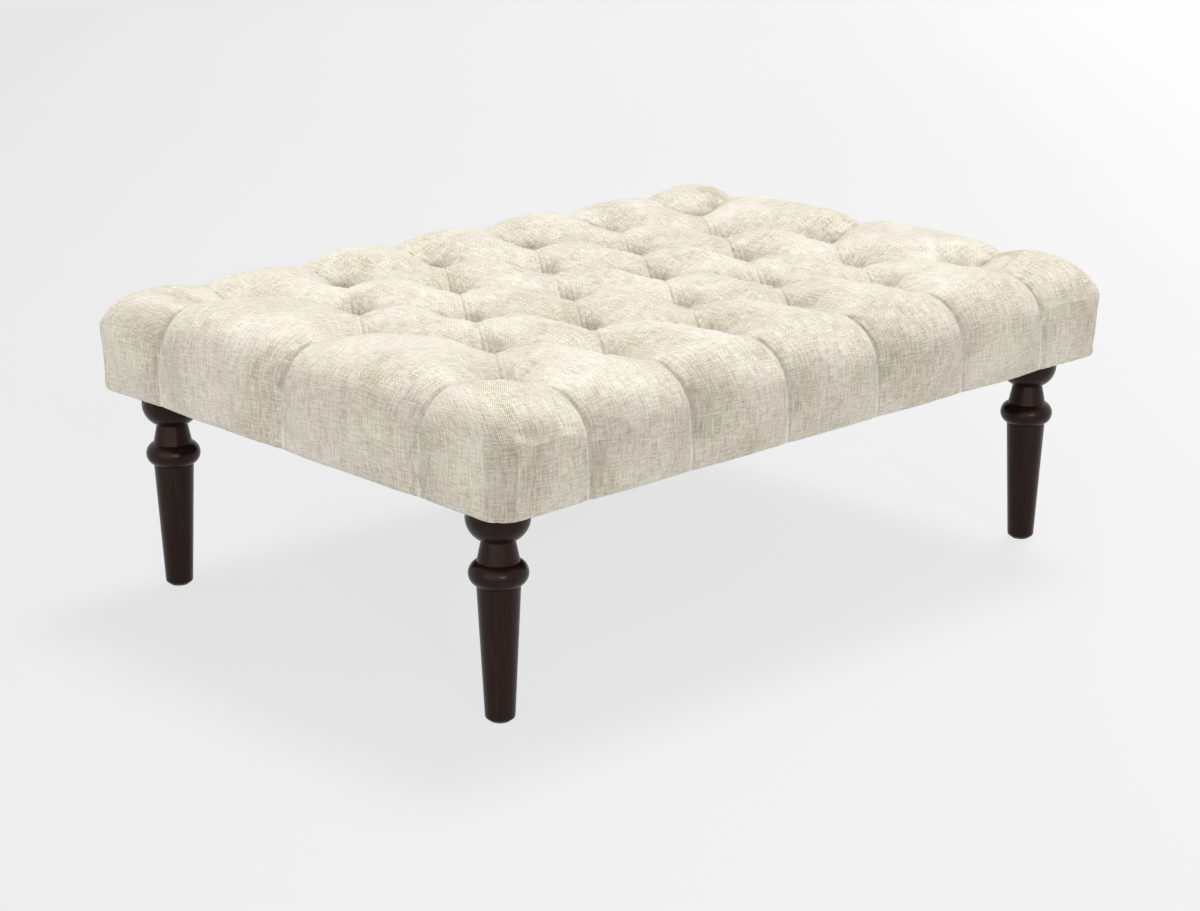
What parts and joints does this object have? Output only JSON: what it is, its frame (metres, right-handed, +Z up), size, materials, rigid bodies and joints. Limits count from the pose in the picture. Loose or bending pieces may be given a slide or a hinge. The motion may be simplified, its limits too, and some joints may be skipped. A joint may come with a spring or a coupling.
{
  "type": "footstool",
  "caption": "Large rectangular footstool: a diamond-tufted upholstered cushion with pleated sides on turned, tapered wooden legs.",
  "frame": {"origin": "on the floor under the middle of the stool, midway between the four feet", "axes": "+X along the cushion's long side, +Y along its short side away from the front, +Z up"},
  "size_m": [0.997, 0.7314, 0.37],
  "materials": {
    "cover_fabric": "matte",
    "button_fabric": "matte",
    "wadding": "matte",
    "foam": "matte",
    "plywood": "matte",
    "dust_cloth": "matte",
    "twine": "matte",
    "washer_steel": "satin",
    "dowel_wood": "matte",
    "screw_steel": "satin",
    "frame_timber": "matte",
    "leg_wood": "satin",
    "glide_plastic": "matte",
    "bolt_steel": "satin"
  },
  "bodies": {
    "root": {"block_screws": "screw_steel", "button_twines": "twine", "corner_block_front_left": "frame_timber", "corner_block_front_right": "frame_timber", "corner_block_rear_left": "frame_timber", "corner_block_rear_right": "frame_timber", "deck_board": "plywood", "deck_screws": "screw_steel", "dust_cloth": "dust_cloth", "foam_block": "foam", "foot_glide_front_left": "glide_plastic", "foot_glide_front_right": "glide_plastic", "foot_glide_rear_left": "glide_plastic", "foot_glide_rear_right": "glide_plastic", "front_rail": "frame_timber", "hanger_bolt_front_left": "bolt_steel", "hanger_bolt_front_right": "bolt_steel", "hanger_bolt_rear_left": "bolt_steel", "hanger_bolt_rear_right": "bolt_steel", "left_cross_rail": "frame_timber", "left_rail": "frame_timber", "leg_front_left": "leg_wood", "leg_front_right": "leg_wood", "leg_rear_left": "leg_wood", "leg_rear_right": "leg_wood", "rail_dowels": "dowel_wood", "rear_rail": "frame_timber", "right_cross_rail": "frame_timber", "right_rail": "frame_timber", "tee_nut_front_left": "bolt_steel", "tee_nut_front_right": "bolt_steel", "tee_nut_rear_left": "bolt_steel", "tee_nut_rear_right": "bolt_steel", "tuft_buttons": "button_fabric", "tufted_cover": "cover_fabric", "twine_washers": "washer_steel", "wadding": "wadding"}
  },
  "joints": []
}
